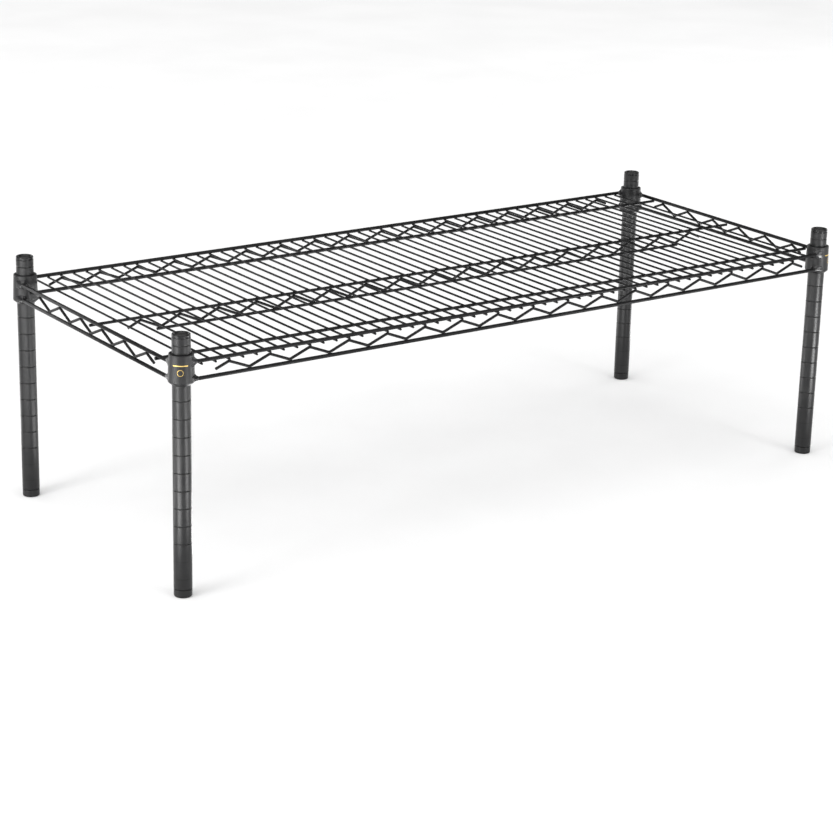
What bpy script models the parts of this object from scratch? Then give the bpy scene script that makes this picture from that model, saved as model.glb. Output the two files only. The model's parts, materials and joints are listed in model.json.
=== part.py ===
"""Low wire shelving rack: one welded wire shelf clipped to four short grooved posts.

The rack stands on the plane z = 0, with +X along the shelf and +Z up. The origin is
under the middle of the shelf. All sizes are in metres.

Each post is a rolled steel tube with a plastic plug on top and a threaded insert and a
levelling foot below. Two halves of a tapered plastic sleeve snap into a post's groove,
and the shelf's four collars wedge down over the sleeves. The shelf itself is welded up
from collars, rails, zigzag wires, a centre truss and a mat of deck wires.
"""

import math

import bmesh
import bpy
from mathutils import Matrix

MM = 0.001

# Layout of the four posts
POST_SPACING_X = 1150 * MM
POST_SPACING_Y = 462 * MM
CORNERS = {
    "front_left": (-1, -1),
    "front_right": (1, -1),
    "back_left": (-1, 1),
    "back_right": (1, 1),
}

# Clearance between pieces that touch on the real rack
GAP = 0.3 * MM

# Facets around a turned piece, and around the three sizes of rod
TURNED_FACETS = 16
RAIL_FACETS = 12
RUNNER_FACETS = 8
DECK_FACETS = 6
SHARP_ANGLE = math.radians(32)
MERGE_DISTANCE = 0.0001 * MM

# Post tube with rolled grooves
TUBE_RADIUS = 12.7 * MM
TUBE_WALL = 1.3 * MM
TUBE_LENGTH = 355.6 * MM
TUBE_BOTTOM_Z = 12 * MM
TUBE_TOP_Z = TUBE_BOTTOM_Z + TUBE_LENGTH
TUBE_BORE_RADIUS = TUBE_RADIUS - TUBE_WALL
GROOVE_COUNT = 12
GROOVE_PITCH = 25.4 * MM
LOWEST_GROOVE = 66 * MM
GROOVE_HALF_WIDTH = 0.9 * MM
GROOVE_DEPTH = 0.7 * MM

# Plug in the top of a post: dished head and a skirt that fits the bore
CAP_HEIGHT = 4.7 * MM
CAP_EDGE = 1.6 * MM
CAP_DISH_RADIUS = 9.8 * MM
CAP_DISH_DEPTH = 1.8 * MM
CAP_SKIRT_LENGTH = 12 * MM
CAP_SKIRT_WALL = 1.8 * MM

# Threaded insert pressed into the foot of a post
INSERT_HEIGHT = 22 * MM
STEM_RADIUS = 4.76 * MM
STEM_TOP_Z = 36 * MM

# Levelling foot: a cup-shaped head on a threaded stem
FOOT_HEIGHT = 11 * MM
FOOT_EDGE = 2 * MM

# Shelf height: the groove, counted from 0 at the bottom, that the sleeves snap into
SHELF_GROOVE = 10
SHELF_Z = TUBE_BOTTOM_Z + LOWEST_GROOVE + SHELF_GROOVE * GROOVE_PITCH

# Tapered split sleeve, with heights from the groove plane
SLEEVE_BOTTOM = -29.8 * MM
SLEEVE_FLARE_TOP = -25.4 * MM
SLEEVE_TOP = 12.4 * MM
SLEEVE_LIP_RADIUS = 13.5 * MM
SLEEVE_FLARE_RADIUS = 18.1 * MM
SLEEVE_WEDGE_RADIUS = 14.85 * MM
SLEEVE_TOP_RADIUS = 14.1 * MM
RIB_HALF_WIDTH = 0.8 * MM
RIB_HEIGHT = 0.6 * MM
SLEEVE_SPLIT = 0.8 * MM

# Collar, with heights from the groove plane
COLLAR_BOTTOM = SLEEVE_FLARE_TOP + GAP
COLLAR_TOP = 13 * MM
COLLAR_BOTTOM_RADIUS = 18.4 * MM
COLLAR_TOP_RADIUS = 17 * MM
COLLAR_EDGE = 0.9 * MM
COLLAR_BORE_PLAY = 0.35 * MM

# Rails that run from collar to collar, with heights from the groove plane
RAIL_RADIUS = 2.5 * MM
RAIL_OFFSET = 12.5 * MM
RAIL_TRIM = 4 * MM
LONG_TOP_RAIL = 2.3 * MM
END_TOP_RAIL = 0.6 * MM
BOTTOM_RAIL = -21.8 * MM
FRONT_RAIL_Y = POST_SPACING_Y / 2 + RAIL_OFFSET
END_RAIL_X = POST_SPACING_X / 2 + RAIL_OFFSET

# Zigzag wires
ZIGZAG_PITCH = 63.7 * MM
ZIGZAG_RADIUS = 1.7 * MM
ZIGZAG_FLAT = 1.5 * MM
ZIGZAG_TAIL = 0.65
LONG_PEAKS = 17
END_PEAKS = 6

# Deck wires, and the lengthwise wires that they are welded to
DECK_RADIUS = 1.25 * MM
DECK_COUNT = 53
DECK_SPACING = ZIGZAG_PITCH / 3
DECK_Z = LONG_TOP_RAIL - RAIL_RADIUS - GAP - DECK_RADIUS
RUNNER_RADIUS = 2 * MM
RUNNER_Y = 187 * MM
WELD_SINK = 0.8 * MM
RUNNER_Z = DECK_Z - DECK_RADIUS - RUNNER_RADIUS + WELD_SINK
WIRE_OVERHANG = 2.8 * MM

# Centre truss under the deck
CENTRE_TOP_Z = DECK_Z - DECK_RADIUS - GAP - RUNNER_RADIUS
CENTRE_TRUSS_DEPTH = 20.6 * MM
CENTRE_BOTTOM_OVERHANG = 6 * MM

# Finishes: linear colour, roughness, metallic
EPOXY_BLACK = ("epoxy_black", (0.030, 0.031, 0.033), 0.42, 0.0)
WIRE_BLACK = ("wire_black", (0.020, 0.020, 0.021), 0.45, 0.0)
PLASTIC_BLACK = ("plastic_black", (0.014, 0.014, 0.015), 0.50, 0.0)
ZINC = ("zinc", (0.45, 0.46, 0.47), 0.35, 1.0)


def clear_scene():
    """Remove every object that the file was opened with."""
    for item in list(bpy.data.objects):
        bpy.data.objects.remove(item, do_unlink=True)


def finish_material(finish):
    """Return the Principled material for a finish, made once."""
    name, colour, roughness, metallic = finish
    material = bpy.data.materials.get(name)
    if material is None:
        material = bpy.data.materials.new(name)
        material.use_nodes = True
        shader = material.node_tree.nodes["Principled BSDF"]
        shader.inputs["Base Color"].default_value = (*colour, 1.0)
        shader.inputs["Roughness"].default_value = roughness
        shader.inputs["Metallic"].default_value = metallic
    return material


def add_object(name, data, finish, location=(0, 0, 0), parent=None):
    """Link a mesh or a curve into the scene as one named piece."""
    piece = bpy.data.objects.new(name, data)
    piece.location = location
    piece.parent = parent
    if finish:
        data.materials.clear()
        data.materials.append(finish_material(finish))
    bpy.context.scene.collection.objects.link(piece)
    return piece


def add_tool(name, mesh, parent=None):
    """Link a mesh that only cuts or joins other pieces."""
    tool = add_object(name, mesh, None, parent=parent)
    tool.hide_render = True
    tool.display_type = "WIRE"
    return tool


def add_boolean(piece, tool, operation):
    """Cut or join a piece with a tool object."""
    modifier = piece.modifiers.new(operation.lower(), "BOOLEAN")
    modifier.operation = operation
    modifier.solver = "EXACT"
    modifier.object = tool


def mesh_from(bm, name):
    """Turn a closed bmesh into a mesh that is smooth between shallow facets."""
    bmesh.ops.remove_doubles(bm, verts=bm.verts, dist=MERGE_DISTANCE)
    bmesh.ops.recalc_face_normals(bm, faces=bm.faces)
    mesh = bpy.data.meshes.new(name)
    bm.to_mesh(mesh)
    bm.free()
    mesh.shade_smooth()
    mesh.set_sharp_from_angle(angle=SHARP_ANGLE)
    return mesh


def turned(profile, ring):
    """Spin a profile of (radius, height) points about Z.

    A ring's profile is a closed loop. A solid's profile starts and ends on the axis.
    """
    bm = bmesh.new()
    verts = [bm.verts.new((radius, 0, height)) for radius, height in profile]
    edges = [bm.edges.new(pair) for pair in zip(verts, verts[1:])]
    if ring:
        edges.append(bm.edges.new((verts[-1], verts[0])))
    bmesh.ops.spin(
        bm,
        geom=verts + edges,
        cent=(0, 0, 0),
        axis=(0, 0, 1),
        angle=2 * math.pi,
        steps=TURNED_FACETS,
        use_merge=True,
    )
    return bm


def arc(centre, size, start, end, steps):
    """Points of (radius, height) along an arc between two angles in degrees."""
    points = []
    for step in range(steps + 1):
        angle = math.radians(start + (end - start) * step / steps)
        points.append((centre[0] + size * math.cos(angle), centre[1] + size * math.sin(angle)))
    return points


def add_rod(bm, axis, middle, length, radius, facets):
    """Add a capped rod along X or Y, with one of its facets on top."""
    turn = Matrix.Rotation(math.radians(90), 4, "Y" if axis == "X" else "X")
    phase = Matrix.Rotation(math.pi / facets, 4, "Z")
    bmesh.ops.create_cone(
        bm,
        cap_ends=True,
        segments=facets,
        radius1=radius,
        radius2=radius,
        depth=length,
        matrix=Matrix.Translation(middle) @ turn @ phase,
    )


def post_place(signs, height=0.0):
    """Position on a post's axis."""
    return (signs[0] * POST_SPACING_X / 2, signs[1] * POST_SPACING_Y / 2, height)


def post_mesh():
    """Tube with V-shaped grooves rolled into its outside."""
    profile = [(TUBE_BORE_RADIUS, TUBE_TOP_Z), (TUBE_BORE_RADIUS, TUBE_BOTTOM_Z)]
    profile.append((TUBE_RADIUS, TUBE_BOTTOM_Z))
    for index in range(GROOVE_COUNT):
        height = TUBE_BOTTOM_Z + LOWEST_GROOVE + index * GROOVE_PITCH
        profile.append((TUBE_RADIUS, height - GROOVE_HALF_WIDTH))
        profile.append((TUBE_RADIUS - GROOVE_DEPTH, height))
        profile.append((TUBE_RADIUS, height + GROOVE_HALF_WIDTH))
    profile.append((TUBE_RADIUS, TUBE_TOP_Z))
    return mesh_from(turned(profile, ring=True), "post")


def cap_mesh():
    """Plug with a rounded, dished head and a hollow skirt."""
    head_bottom = TUBE_TOP_Z + GAP
    head_top = TUBE_TOP_Z + CAP_HEIGHT
    skirt_bottom = TUBE_TOP_Z - CAP_SKIRT_LENGTH
    skirt_radius = TUBE_BORE_RADIUS - GAP
    hollow_radius = skirt_radius - CAP_SKIRT_WALL
    profile = [
        (0, head_bottom),
        (hollow_radius, head_bottom),
        (hollow_radius, skirt_bottom),
        (skirt_radius, skirt_bottom),
        (skirt_radius, head_bottom),
        (TUBE_RADIUS, head_bottom),
    ]
    edge_centre = (TUBE_RADIUS - CAP_EDGE, head_top - CAP_EDGE)
    profile += arc(edge_centre, CAP_EDGE, 0, 90, 3)
    for share in (1, 0.5, 0):
        depth = CAP_DISH_DEPTH * (1 - share**2)
        profile.append((CAP_DISH_RADIUS * share, head_top - depth))
    return mesh_from(turned(profile, ring=False), "post_cap")


def insert_mesh():
    """Bush that is pressed into the tube and takes the foot's stem."""
    outer = TUBE_BORE_RADIUS - GAP
    bore = STEM_RADIUS + GAP
    top = TUBE_BOTTOM_Z + INSERT_HEIGHT
    profile = [(bore, TUBE_BOTTOM_Z), (outer, TUBE_BOTTOM_Z), (outer, top), (bore, top)]
    return mesh_from(turned(profile, ring=True), "foot_insert")


def foot_mesh():
    """Foot with a rounded floor edge and a plain stem for its thread."""
    edge_centre = (TUBE_RADIUS - FOOT_EDGE, FOOT_EDGE)
    profile = [
        (0, 0),
        *arc(edge_centre, FOOT_EDGE, -90, 0, 2),
        (TUBE_RADIUS, FOOT_HEIGHT),
        (STEM_RADIUS, FOOT_HEIGHT),
        (STEM_RADIUS, STEM_TOP_Z),
        (0, STEM_TOP_Z),
    ]
    return mesh_from(turned(profile, ring=False), "levelling_foot")


def sleeve_half_mesh(side):
    """One half of the tapered sleeve, split along the diagonal plane of side."""
    bore = TUBE_RADIUS + GAP
    profile = [
        (bore, SLEEVE_BOTTOM),
        (SLEEVE_LIP_RADIUS, SLEEVE_BOTTOM),
        (SLEEVE_FLARE_RADIUS, SLEEVE_FLARE_TOP),
        (SLEEVE_WEDGE_RADIUS, SLEEVE_FLARE_TOP),
        (SLEEVE_TOP_RADIUS, SLEEVE_TOP),
        (bore, SLEEVE_TOP),
        (bore, RIB_HALF_WIDTH),
        (bore - RIB_HEIGHT, 0),
        (bore, -RIB_HALF_WIDTH),
    ]
    bm = turned(profile, ring=True)
    normal = (side[0] * math.sqrt(0.5), side[1] * math.sqrt(0.5), 0)
    plane_point = (normal[0] * SLEEVE_SPLIT / 2, normal[1] * SLEEVE_SPLIT / 2, 0)
    everything = list(bm.verts) + list(bm.edges) + list(bm.faces)
    bmesh.ops.bisect_plane(
        bm, geom=everything, plane_co=plane_point, plane_no=normal, clear_inner=True
    )
    rims = [edge for edge in bm.edges if edge.is_boundary]
    bmesh.ops.holes_fill(bm, edges=rims, sides=0)
    return mesh_from(bm, "sleeve_half")


def collar_mesh():
    """Collar with a tapered outside and a matching tapered bore."""
    bore_bottom = SLEEVE_WEDGE_RADIUS + COLLAR_BORE_PLAY
    bore_top = SLEEVE_TOP_RADIUS + COLLAR_BORE_PLAY
    profile = [
        (bore_bottom, COLLAR_BOTTOM),
        (COLLAR_BOTTOM_RADIUS, COLLAR_BOTTOM),
        (COLLAR_TOP_RADIUS, COLLAR_TOP - COLLAR_EDGE),
        (COLLAR_TOP_RADIUS - COLLAR_EDGE, COLLAR_TOP),
        (bore_top, COLLAR_TOP),
    ]
    return mesh_from(turned(profile, ring=True), "collar")


def collar_clearance_mesh():
    """Four plugs a gap larger than the collars, which cope the ends of the rails."""
    bottom = COLLAR_BOTTOM - RAIL_RADIUS
    top = COLLAR_TOP + RAIL_RADIUS
    profile = [
        (0, bottom),
        (COLLAR_BOTTOM_RADIUS + GAP, bottom),
        (COLLAR_BOTTOM_RADIUS + GAP, COLLAR_BOTTOM),
        (COLLAR_TOP_RADIUS + GAP, COLLAR_TOP),
        (COLLAR_TOP_RADIUS + GAP, top),
        (0, top),
    ]
    plug = mesh_from(turned(profile, ring=False), "collar_plug")
    bm = bmesh.new()
    for signs in CORNERS.values():
        before = set(bm.verts)
        bm.from_mesh(plug)
        fresh = [vert for vert in bm.verts if vert not in before]
        bmesh.ops.translate(bm, verts=fresh, vec=post_place(signs))
    bpy.data.meshes.remove(plug)
    return mesh_from(bm, "collar_clearance")


def rod_mesh(axis, length, radius, facets):
    """Straight rod about the origin, along X or Y."""
    bm = bmesh.new()
    add_rod(bm, axis, (0, 0, 0), length, radius, facets)
    return mesh_from(bm, "rod")


def zigzag_curve(axis, peaks, peak_z, valley_z):
    """Wire bent to and fro between two heights, with a short tail past each end peak."""
    middle = (peaks - 1) / 2
    route = []
    for index in range(peaks):
        peak = (index - middle) * ZIGZAG_PITCH
        route.append((peak - ZIGZAG_FLAT, peak_z))
        route.append((peak + ZIGZAG_FLAT, peak_z))
        if index < peaks - 1:
            valley = peak + ZIGZAG_PITCH / 2
            route.append((valley - ZIGZAG_FLAT, valley_z))
            route.append((valley + ZIGZAG_FLAT, valley_z))
    tail_end = middle * ZIGZAG_PITCH + ZIGZAG_TAIL * ZIGZAG_PITCH / 2
    tail_z = peak_z - ZIGZAG_TAIL * (peak_z - valley_z)
    route = [(-tail_end, tail_z)] + route + [(tail_end, tail_z)]
    curve = bpy.data.curves.new("zigzag", "CURVE")
    curve.dimensions = "3D"
    curve.bevel_depth = ZIGZAG_RADIUS
    curve.bevel_resolution = 1
    curve.use_fill_caps = True
    spline = curve.splines.new("POLY")
    spline.points.add(len(route) - 1)
    for point, (along, height) in zip(spline.points, route):
        place = (along, 0, height) if axis == "X" else (0, along, height)
        point.co = (*place, 1)
    return curve


def deck_wires_mesh():
    """Cross wires of the deck, still separate."""
    bm = bmesh.new()
    length = 2 * (FRONT_RAIL_Y + WIRE_OVERHANG)
    corner_radius = DECK_RADIUS / math.cos(math.pi / DECK_FACETS)
    for index in range(DECK_COUNT):
        middle = ((index - (DECK_COUNT - 1) / 2) * DECK_SPACING, 0, DECK_Z)
        add_rod(bm, "Y", middle, length, corner_radius, DECK_FACETS)
    return mesh_from(bm, "deck_wires")


def runners_mesh():
    """The two lengthwise wires that the cross wires sink into."""
    bm = bmesh.new()
    length = 2 * (END_RAIL_X + WIRE_OVERHANG)
    for side in (-1, 1):
        middle = (0, side * RUNNER_Y, RUNNER_Z)
        add_rod(bm, "X", middle, length, RUNNER_RADIUS, RUNNER_FACETS)
    return mesh_from(bm, "runners")


def build_posts():
    """Posts with their plugs, inserts, feet and sleeve halves."""
    post = post_mesh()
    cap = cap_mesh()
    insert = insert_mesh()
    foot = foot_mesh()
    for corner, signs in CORNERS.items():
        place = post_place(signs)
        add_object("post_" + corner, post, EPOXY_BLACK, place)
        add_object("post_cap_" + corner, cap, PLASTIC_BLACK, place)
        add_object("foot_insert_" + corner, insert, ZINC, place)
        add_object("levelling_foot_" + corner, foot, EPOXY_BLACK, place)
        groove_place = post_place(signs, SHELF_Z)
        outward = sleeve_half_mesh(signs)
        inward = sleeve_half_mesh((-signs[0], -signs[1]))
        add_object("sleeve_outer_" + corner, outward, PLASTIC_BLACK, groove_place)
        add_object("sleeve_inner_" + corner, inward, PLASTIC_BLACK, groove_place)


def build_rails(shelf, clearance):
    """Top and bottom rails round the shelf, coped to the collars."""
    long_rail = rod_mesh("X", POST_SPACING_X - 2 * RAIL_TRIM, RAIL_RADIUS, RAIL_FACETS)
    end_rail = rod_mesh("Y", POST_SPACING_Y - 2 * RAIL_TRIM, RAIL_RADIUS, RAIL_FACETS)
    rails = []
    for side, sign in (("front", -1), ("back", 1)):
        y = sign * FRONT_RAIL_Y
        rails.append(("rail_top_" + side, long_rail, (0, y, LONG_TOP_RAIL)))
        rails.append(("rail_bottom_" + side, long_rail, (0, y, BOTTOM_RAIL)))
    for side, sign in (("left", -1), ("right", 1)):
        x = sign * END_RAIL_X
        rails.append(("rail_top_" + side, end_rail, (x, 0, END_TOP_RAIL)))
        rails.append(("rail_bottom_" + side, end_rail, (x, 0, BOTTOM_RAIL)))
    for name, mesh, place in rails:
        rail = add_object(name, mesh, WIRE_BLACK, place, shelf)
        add_boolean(rail, clearance, "DIFFERENCE")


def build_zigzags(shelf):
    """Zigzag wires between the top and bottom rails."""
    valley_z = BOTTOM_RAIL + RAIL_RADIUS + GAP + ZIGZAG_RADIUS
    long_peak_z = DECK_Z - DECK_RADIUS - GAP - ZIGZAG_RADIUS
    end_peak_z = END_TOP_RAIL - RAIL_RADIUS - GAP - ZIGZAG_RADIUS
    long_wire = zigzag_curve("X", LONG_PEAKS, long_peak_z, valley_z)
    end_wire = zigzag_curve("Y", END_PEAKS, end_peak_z, valley_z)
    for side, sign in (("front", -1), ("back", 1)):
        place = (0, sign * FRONT_RAIL_Y, 0)
        add_object("zigzag_wire_" + side, long_wire, WIRE_BLACK, place, shelf)
    for side, sign in (("left", -1), ("right", 1)):
        place = (sign * END_RAIL_X, 0, 0)
        add_object("zigzag_wire_" + side, end_wire, WIRE_BLACK, place, shelf)


def build_centre_truss(shelf):
    """Stiffener under the middle of the deck: two straight wires and a zigzag."""
    bottom_z = CENTRE_TOP_Z - CENTRE_TRUSS_DEPTH
    wire_step = RUNNER_RADIUS + GAP + ZIGZAG_RADIUS
    top_length = 2 * (END_RAIL_X + WIRE_OVERHANG)
    bottom_length = (LONG_PEAKS - 2) * ZIGZAG_PITCH + 2 * CENTRE_BOTTOM_OVERHANG
    top = rod_mesh("X", top_length, RUNNER_RADIUS, RUNNER_FACETS)
    bottom = rod_mesh("X", bottom_length, RUNNER_RADIUS, RUNNER_FACETS)
    zigzag = zigzag_curve("X", LONG_PEAKS, CENTRE_TOP_Z - wire_step, bottom_z + wire_step)
    add_object("centre_truss_top_wire", top, WIRE_BLACK, (0, 0, CENTRE_TOP_Z), shelf)
    add_object("centre_truss_bottom_wire", bottom, WIRE_BLACK, (0, 0, bottom_z), shelf)
    add_object("centre_truss_zigzag_wire", zigzag, WIRE_BLACK, (0, 0, 0), shelf)


def build_shelf():
    """The welded shelf, which lifts off its sleeves along the posts."""
    shelf = bpy.data.objects.new("shelf_lift", None)
    shelf.location = (0, 0, SHELF_Z)
    bpy.context.scene.collection.objects.link(shelf)
    collar = collar_mesh()
    for corner, signs in CORNERS.items():
        add_object("collar_" + corner, collar, EPOXY_BLACK, post_place(signs), shelf)
    clearance = add_tool("collar_clearance", collar_clearance_mesh(), shelf)
    build_rails(shelf, clearance)
    build_zigzags(shelf)
    build_centre_truss(shelf)
    runners = add_tool("runners", runners_mesh(), shelf)
    mat = add_object("deck_wire_mat", deck_wires_mesh(), WIRE_BLACK, (0, 0, 0), shelf)
    add_boolean(mat, runners, "UNION")


clear_scene()
build_posts()
build_shelf()
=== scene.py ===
import json
import math

import bmesh
import bpy
from mathutils import Matrix, Quaternion, Vector

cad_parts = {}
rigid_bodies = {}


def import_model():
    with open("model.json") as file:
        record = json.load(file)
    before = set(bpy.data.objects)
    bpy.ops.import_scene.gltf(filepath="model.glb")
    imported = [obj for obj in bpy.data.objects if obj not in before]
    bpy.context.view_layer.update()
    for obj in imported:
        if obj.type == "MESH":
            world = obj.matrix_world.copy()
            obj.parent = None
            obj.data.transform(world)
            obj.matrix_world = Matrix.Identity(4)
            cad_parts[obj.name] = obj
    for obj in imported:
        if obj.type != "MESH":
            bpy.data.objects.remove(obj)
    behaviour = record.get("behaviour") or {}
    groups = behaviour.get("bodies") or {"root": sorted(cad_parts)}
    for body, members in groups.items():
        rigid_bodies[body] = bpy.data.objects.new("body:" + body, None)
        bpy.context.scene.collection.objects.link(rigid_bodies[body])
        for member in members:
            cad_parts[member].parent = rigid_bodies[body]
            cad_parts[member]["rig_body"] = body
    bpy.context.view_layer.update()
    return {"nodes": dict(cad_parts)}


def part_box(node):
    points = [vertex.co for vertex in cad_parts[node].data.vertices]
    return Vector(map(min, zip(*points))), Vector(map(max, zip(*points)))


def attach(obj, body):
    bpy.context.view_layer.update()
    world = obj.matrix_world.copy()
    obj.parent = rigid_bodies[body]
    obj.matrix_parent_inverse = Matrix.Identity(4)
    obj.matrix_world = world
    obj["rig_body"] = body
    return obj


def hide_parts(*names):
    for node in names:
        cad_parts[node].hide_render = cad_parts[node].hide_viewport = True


# Clears whatever a new Blender file comes with.
for leftover in list(bpy.data.objects):
    bpy.data.objects.remove(leftover)

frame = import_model()


# Posts: four 25.4 mm steel tubes with a shallow groove rolled in every inch, which the split sleeves snap
# into. Each tube is cut to length, its ends are deburred, and it is powder coated in satin black epoxy.
CORNERS = ("front_left", "front_right", "back_left", "back_right")
GROOVE_PITCH = 0.0254
FIRST_GROOVE = 0.066
GROOVE_HALF_WIDTH = 0.00095
GROOVE_DEPTH = 0.00075
GROOVE_LIP = 0.0006
GROOVE_ROOT = 0.0003
STRAIGHT_FROM = 0.0007
TUBE_WALL = 0.0013
POST_COAT_BUILD = 0.00015
TUBE_EDGE = 0.0004
TUBE_STEPS = 96
POST_BLACK = (0.008, 0.008, 0.0085)
POST_GREY = (0.013, 0.013, 0.0135)
DUST_GREY = (0.21, 0.20, 0.18)
SCUFF_GREY = (0.075, 0.075, 0.076)
# Painted shade: the near black it darkens the coat towards, and its share in the post grooves.
PAINTED_SHADE_BLACK = (0.004, 0.004, 0.004)
GROOVE_SHADE_SHARE = 0.85


def round_off(corners, steps, closed=False):
    """Rounds a flat outline. Each corner is (u, v, radius), and a radius of 0 leaves it sharp."""
    outline = []
    for place, (u, v, radius) in enumerate(corners):
        corner = Vector((u, v))
        at_end = place in (0, len(corners) - 1) and not closed
        if radius == 0 or at_end:
            outline.append(corner)
            continue
        before = (Vector(corners[place - 1][:2]) - corner).normalized()
        after = (Vector(corners[(place + 1) % len(corners)][:2]) - corner).normalized()
        half = before.angle(after) / 2
        centre = corner + (before + after).normalized() * radius / math.sin(half)
        start = corner + before * radius / math.tan(half) - centre
        end = corner + after * radius / math.tan(half) - centre
        first = math.atan2(start.y, start.x)
        sweep = (math.atan2(end.y, end.x) - first + math.pi) % math.tau - math.pi
        for step in range(steps + 1):
            angle = first + sweep * step / steps
            outline.append(centre + radius * Vector((math.cos(angle), math.sin(angle))))
    return outline


def hold_straights(outline, closed):
    """Adds a point near both ends of each long straight stretch, so that its shading stays straight."""
    held = []
    for place, point in enumerate(outline):
        held.append(point)
        if place == len(outline) - 1 and not closed:
            break
        stretch = outline[(place + 1) % len(outline)] - point
        if stretch.length > 3 * STRAIGHT_FROM:
            step = stretch.normalized() * STRAIGHT_FROM
            held += [point + step, point + stretch - step]
    return held


def turn(bm, outline, axis, steps, closed, start=0.0, angle=math.tau):
    """Turns an outline of (radius, height) round an upright axis, all the way or through part of a turn."""
    facing = Matrix.Rotation(start, 3, "Z")
    held = hold_straights(outline, closed)
    verts = [bm.verts.new(axis + facing @ Vector((radius, 0, height))) for radius, height in held]
    edges = [bm.edges.new(pair) for pair in zip(verts, verts[1:])]
    if closed:
        edges.append(bm.edges.new((verts[-1], verts[0])))
    whole = angle == math.tau
    swept = bmesh.ops.spin(
        bm, geom=verts + edges, cent=axis, axis=(0, 0, 1), angle=angle, steps=steps, use_merge=whole
    )
    if not whole:
        last = [item for item in swept["geom_last"] if isinstance(item, bmesh.types.BMEdge)]
        bmesh.ops.contextual_create(bm, geom=edges)
        bmesh.ops.contextual_create(bm, geom=last)


def add_piece(bm, name, finish, nodes, smooth_below=35):
    """Makes the mesh a piece that stands for these CAD nodes and moves with their body."""
    bmesh.ops.remove_doubles(bm, verts=bm.verts, dist=2e-6)
    bmesh.ops.recalc_face_normals(bm, faces=bm.faces)
    for face in bm.faces:
        face.smooth = True
    mesh = bpy.data.meshes.new(name)
    bm.to_mesh(mesh)
    bm.free()
    mesh.set_sharp_from_angle(angle=math.radians(smooth_below))
    mesh.materials.append(finish)
    piece = bpy.data.objects.new(name, mesh)
    bpy.context.scene.collection.objects.link(piece)
    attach(piece, frame["nodes"][nodes[0]]["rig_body"])
    return piece


def upright_axis(node):
    """The middle of a CAD node seen from above, at floor height."""
    low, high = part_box(node)
    return Vector(((low.x + high.x) / 2, (low.y + high.y) / 2, 0))


def new_group(name, inputs, outputs):
    """Starts a node group with number inputs and number outputs."""
    group = bpy.data.node_groups.new(name, "ShaderNodeTree")
    for label, value in inputs.items():
        socket = group.interface.new_socket(label, in_out="INPUT", socket_type="NodeSocketFloat")
        socket.default_value = value
    for label in outputs:
        group.interface.new_socket(label, in_out="OUTPUT", socket_type="NodeSocketFloat")
    return group, group.nodes.new("NodeGroupInput"), group.nodes.new("NodeGroupOutput")


def noise(tree, scale, detail=3.0, roughness=0.5, stretch=(1, 1, 1)):
    """A noise node on the piece's own coordinates. Its scale is in cycles per metre."""
    place = tree.nodes.new("ShaderNodeTexCoord")
    mapping = tree.nodes.new("ShaderNodeMapping")
    mapping.inputs["Scale"].default_value = stretch
    pattern = tree.nodes.new("ShaderNodeTexNoise")
    pattern.inputs["Scale"].default_value = scale
    pattern.inputs["Detail"].default_value = detail
    pattern.inputs["Roughness"].default_value = roughness
    tree.links.new(place.outputs["Object"], mapping.inputs["Vector"])
    tree.links.new(mapping.outputs["Vector"], pattern.inputs["Vector"])
    return pattern


def calc(tree, operation, first, second, third=None):
    """One sum on sockets or numbers."""
    node = tree.nodes.new("ShaderNodeMath")
    node.operation = operation
    for place, value in enumerate((first, second, third)):
        if isinstance(value, bpy.types.NodeSocket):
            tree.links.new(value, node.inputs[place])
        elif value is not None:
            node.inputs[place].default_value = value
    return node.outputs[0]


def ramp(tree, value, low, high, to_low=0.0, to_high=1.0):
    """Spreads the values from low to high smoothly over a new range."""
    node = tree.nodes.new("ShaderNodeMapRange")
    node.interpolation_type = "SMOOTHSTEP"
    node.inputs["From Min"].default_value = low
    node.inputs["From Max"].default_value = high
    node.inputs["To Min"].default_value = to_low
    node.inputs["To Max"].default_value = to_high
    tree.links.new(value, node.inputs["Value"])
    return node.outputs["Result"]


def blend(tree, share, first, second):
    """Mixes two colours, each a socket or a plain colour, by a share from 0 to 1."""
    node = tree.nodes.new("ShaderNodeMix")
    node.data_type = "RGBA"
    tree.links.new(share, node.inputs["Factor"])
    for label, value in ((6, first), (7, second)):
        if isinstance(value, bpy.types.NodeSocket):
            tree.links.new(value, node.inputs[label])
        else:
            node.inputs[label].default_value = (*value, 1)
    return node.outputs[2]


# The skin of baked epoxy powder: a coarse and a fine ripple, as on orange peel.
peel_group, peel_in, peel_out = new_group("epoxy_peel", {"Ripple": 650.0}, ("Height",))
coarse = noise(peel_group, 650.0, 1.0, 0.4)
fine = noise(peel_group, 2300.0, 2.0, 0.5)
peel_group.links.new(peel_in.outputs["Ripple"], coarse.inputs["Scale"])
fine_part = calc(peel_group, "MULTIPLY", fine.outputs["Fac"], 0.35)
peel_sum = calc(peel_group, "ADD", coarse.outputs["Fac"], fine_part)
peel_group.links.new(peel_sum, peel_out.inputs["Height"])

# Dust that has settled in patches on whatever faces up.
dust_group, dust_in, dust_out = new_group("settled_dust", {"Amount": 0.3}, ("Dust",))
facing = dust_group.nodes.new("ShaderNodeNewGeometry")
split = dust_group.nodes.new("ShaderNodeSeparateXYZ")
dust_group.links.new(facing.outputs["Normal"], split.inputs["Vector"])
upward = ramp(dust_group, split.outputs["Z"], 0.35, 0.95)
patches = ramp(dust_group, noise(dust_group, 45.0, 6.0, 0.65).outputs["Fac"], 0.35, 0.75)
specks = ramp(dust_group, noise(dust_group, 1900.0, 2.0, 0.6).outputs["Fac"], 0.52, 0.72)
dust_film = calc(dust_group, "MULTIPLY_ADD", specks, 0.6, calc(dust_group, "MULTIPLY", patches, 0.5))
dust_lying = calc(dust_group, "MULTIPLY", upward, dust_film)
dust_all = calc(dust_group, "MULTIPLY", dust_lying, dust_in.outputs["Amount"])
dust_group.links.new(dust_all, dust_out.inputs["Dust"])

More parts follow.
